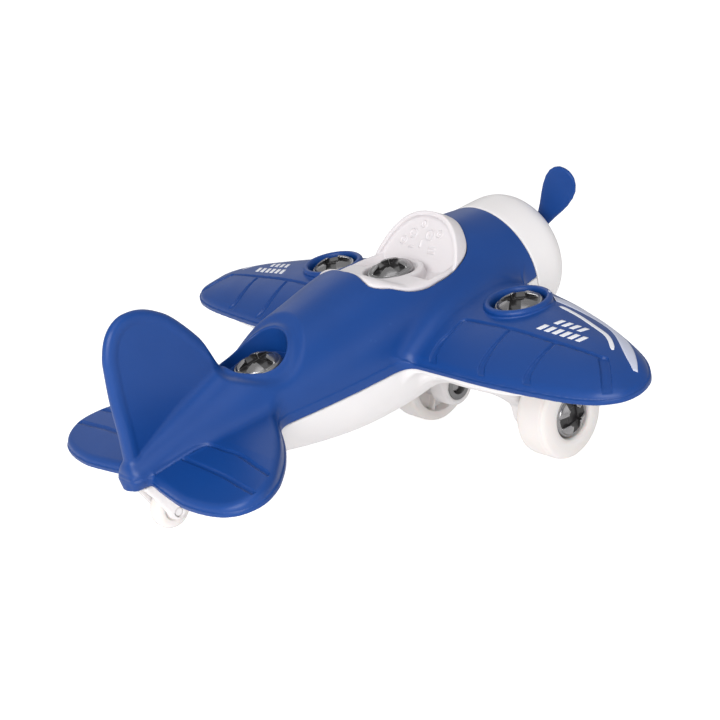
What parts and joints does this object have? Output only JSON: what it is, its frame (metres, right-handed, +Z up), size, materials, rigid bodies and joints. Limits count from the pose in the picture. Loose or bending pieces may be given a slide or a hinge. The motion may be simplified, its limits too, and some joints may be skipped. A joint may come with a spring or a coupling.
{
  "type": "toy airplane",
  "caption": "Low-wing take-apart toy airplane with a round cowl, paddle propeller, rolling wheels and large cross-slot toy bolts clamping upper and lower shells.",
  "frame": {"origin": "on the ground, under the centre of the whole plane's box, standing on its three wheels", "axes": "+X towards the nose, +Y towards the left wing tip, +Z up; the plane's own axis is tipped 19.6 degrees nose-up"},
  "size_m": [0.2834, 0.3092, 0.1491],
  "materials": {
    "blue_shell": "satin injection-moulded blue plastic",
    "white_shell": "satin injection-moulded warm white plastic",
    "white_insert": "satin injection-moulded white plastic",
    "white_wheel": "soft-gloss moulded white plastic",
    "grey_bolt": "glossy metallic-grey moulded plastic",
    "steel_pin": "plain drawn wire"
  },
  "bodies": {
    "airframe": {"upper_shell": "blue_shell", "lower_shell": "white_shell", "cockpit_insert": "white_insert", "nose_cowl": "white_shell", "propeller_nut": "grey_bolt", "wing_nut_left": "grey_bolt", "wing_nut_right": "grey_bolt", "cockpit_nut": "grey_bolt", "tail_nut": "grey_bolt", "wheel_nut_left": "grey_bolt", "wheel_nut_right": "grey_bolt", "tail_wheel_pin": "steel_pin", "wheel_bolt_left": "grey_bolt", "wheel_bolt_right": "grey_bolt"},
    "propeller": {"propeller": "blue_shell", "propeller_bolt": "grey_bolt"},
    "wing_bolt_left": {"wing_bolt_left": "grey_bolt"},
    "wing_bolt_right": {"wing_bolt_right": "grey_bolt"},
    "cockpit_bolt": {"cockpit_bolt": "grey_bolt"},
    "tail_bolt": {"tail_bolt": "grey_bolt"},
    "wheel_left": {"wheel_left": "white_wheel"},
    "wheel_right": {"wheel_right": "white_wheel"},
    "tail_wheel": {"tail_wheel": "white_wheel"}
  },
  "joints": [
    {"name": "propeller_spin", "type": "hinge", "parent": "airframe", "child": "propeller", "pos_m": [0.12433, 0, 0.10258], "axis": [0.9677, 0, 0.2521], "continuous": true},
    {"name": "wheel_left_spin", "type": "hinge", "parent": "airframe", "child": "wheel_left", "pos_m": [0.09965, 0.048, 0.02407], "axis": [0, 1, 0], "continuous": true},
    {"name": "wheel_right_spin", "type": "hinge", "parent": "airframe", "child": "wheel_right", "pos_m": [0.09965, -0.048, 0.02407], "axis": [0, 1, 0], "continuous": true},
    {"name": "tail_wheel_spin", "type": "hinge", "parent": "airframe", "child": "tail_wheel", "pos_m": [-0.11054, 0, 0.0092], "axis": [0, 1, 0], "continuous": true},
    {"name": "wing_bolt_left_unscrew", "type": "slide", "parent": "airframe", "child": "wing_bolt_left", "axis": [-0.3355, 0, 0.9421], "range_m": [0, 0.016]},
    {"name": "wing_bolt_right_unscrew", "type": "slide", "parent": "airframe", "child": "wing_bolt_right", "axis": [-0.3355, 0, 0.9421], "range_m": [0, 0.016]},
    {"name": "cockpit_bolt_unscrew", "type": "slide", "parent": "airframe", "child": "cockpit_bolt", "axis": [-0.3355, 0, 0.9421], "range_m": [0, 0.03]},
    {"name": "tail_bolt_unscrew", "type": "slide", "parent": "airframe", "child": "tail_bolt", "axis": [-0.3355, 0, 0.9421], "range_m": [0, 0.026]}
  ]
}
